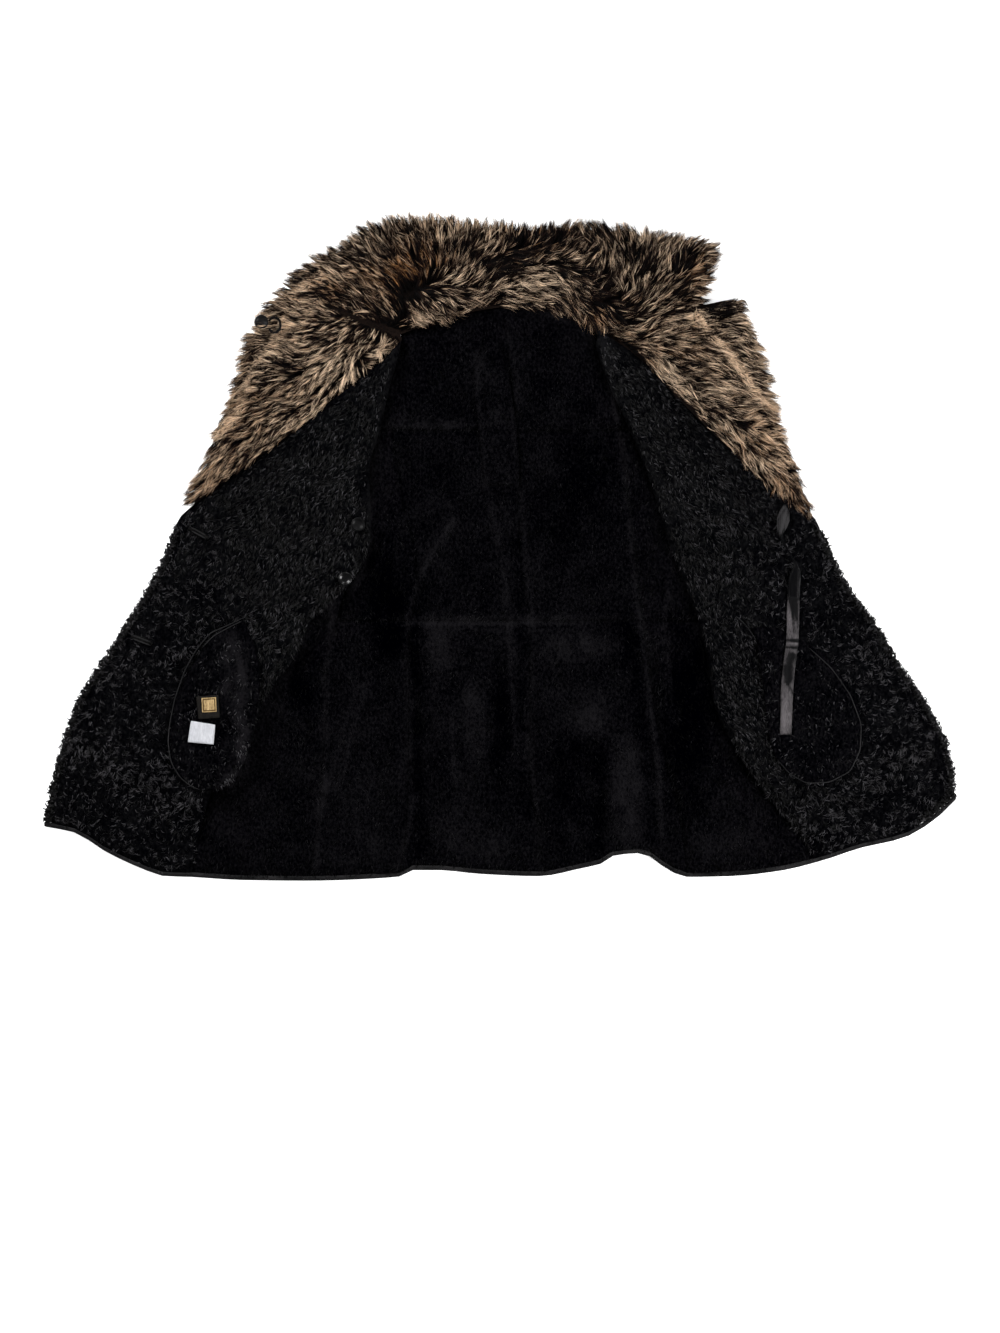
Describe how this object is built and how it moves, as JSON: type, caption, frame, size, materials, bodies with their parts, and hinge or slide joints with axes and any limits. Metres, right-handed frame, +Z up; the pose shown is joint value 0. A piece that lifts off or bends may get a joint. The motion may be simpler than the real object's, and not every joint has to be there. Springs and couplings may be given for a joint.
{
  "type": "sheepskin coat",
  "caption": "Waisted sheepskin coat with a fur collar and fur lapels, laid open flat on its back with its black fleece side up.",
  "frame": {"origin": "centre of the bounding box, on the surface the coat lies on", "axes": "+X towards the coat's left front (right in the picture), +Y from hem to collar, +Z up out of the inside of the coat"},
  "size_m": [1.2044, 0.8738, 0.0401],
  "materials": {
    "clipped_fleece": "clipped black fleece on hide",
    "curly_fleece": "curly black fleece on hide",
    "long_fur": "long brown fur with pale tips",
    "black_leather": "soft black leather",
    "black_satin": "black satin",
    "black_weave": "woven label",
    "gold_weave": "woven gold",
    "white_satin": "white satin",
    "black_button": "polished black",
    "dark_button": "dark horn"
  },
  "bodies": {
    "root": {"back_middle_left": "clipped_fleece", "back_middle_right": "clipped_fleece", "back_skirt_left": "clipped_fleece", "back_skirt_right": "clipped_fleece", "back_yoke_left": "clipped_fleece", "back_yoke_right": "clipped_fleece", "button_lower": "black_button", "button_upper": "black_button", "buttonhole_lower": "black_leather", "buttonhole_upper": "black_leather", "centre_strip": "clipped_fleece", "collar": "long_fur", "collar_button": "dark_button", "collar_loop": "black_leather", "front_left": "curly_fleece", "front_right": "curly_fleece", "hem_back_left": "black_leather", "hem_back_right": "black_leather", "hem_front_left": "black_leather", "hem_front_right": "black_leather", "hem_side_front_left": "black_leather", "hem_side_left": "black_leather", "hem_side_right": "black_leather", "inner_button_lower": "black_button", "inner_button_upper": "black_button", "label_care": "white_satin", "label_square": "gold_weave", "label_woven": "black_weave", "lapel_left": "long_fur", "lapel_right": "long_fur", "pocket_bag_left": "clipped_fleece", "pocket_bag_right": "clipped_fleece", "side_front_left": "clipped_fleece", "side_skirt_left": "clipped_fleece", "side_skirt_right": "clipped_fleece", "side_upper_left": "clipped_fleece", "side_upper_right": "clipped_fleece", "sleeve_left_top": "black_leather", "sleeve_left_under": "black_leather", "sleeve_right_top": "black_leather", "sleeve_right_under": "black_leather", "strap": "black_satin", "under_collar": "black_leather", "under_lapel_left": "black_leather", "under_lapel_right": "black_leather"}
  },
  "joints": []
}
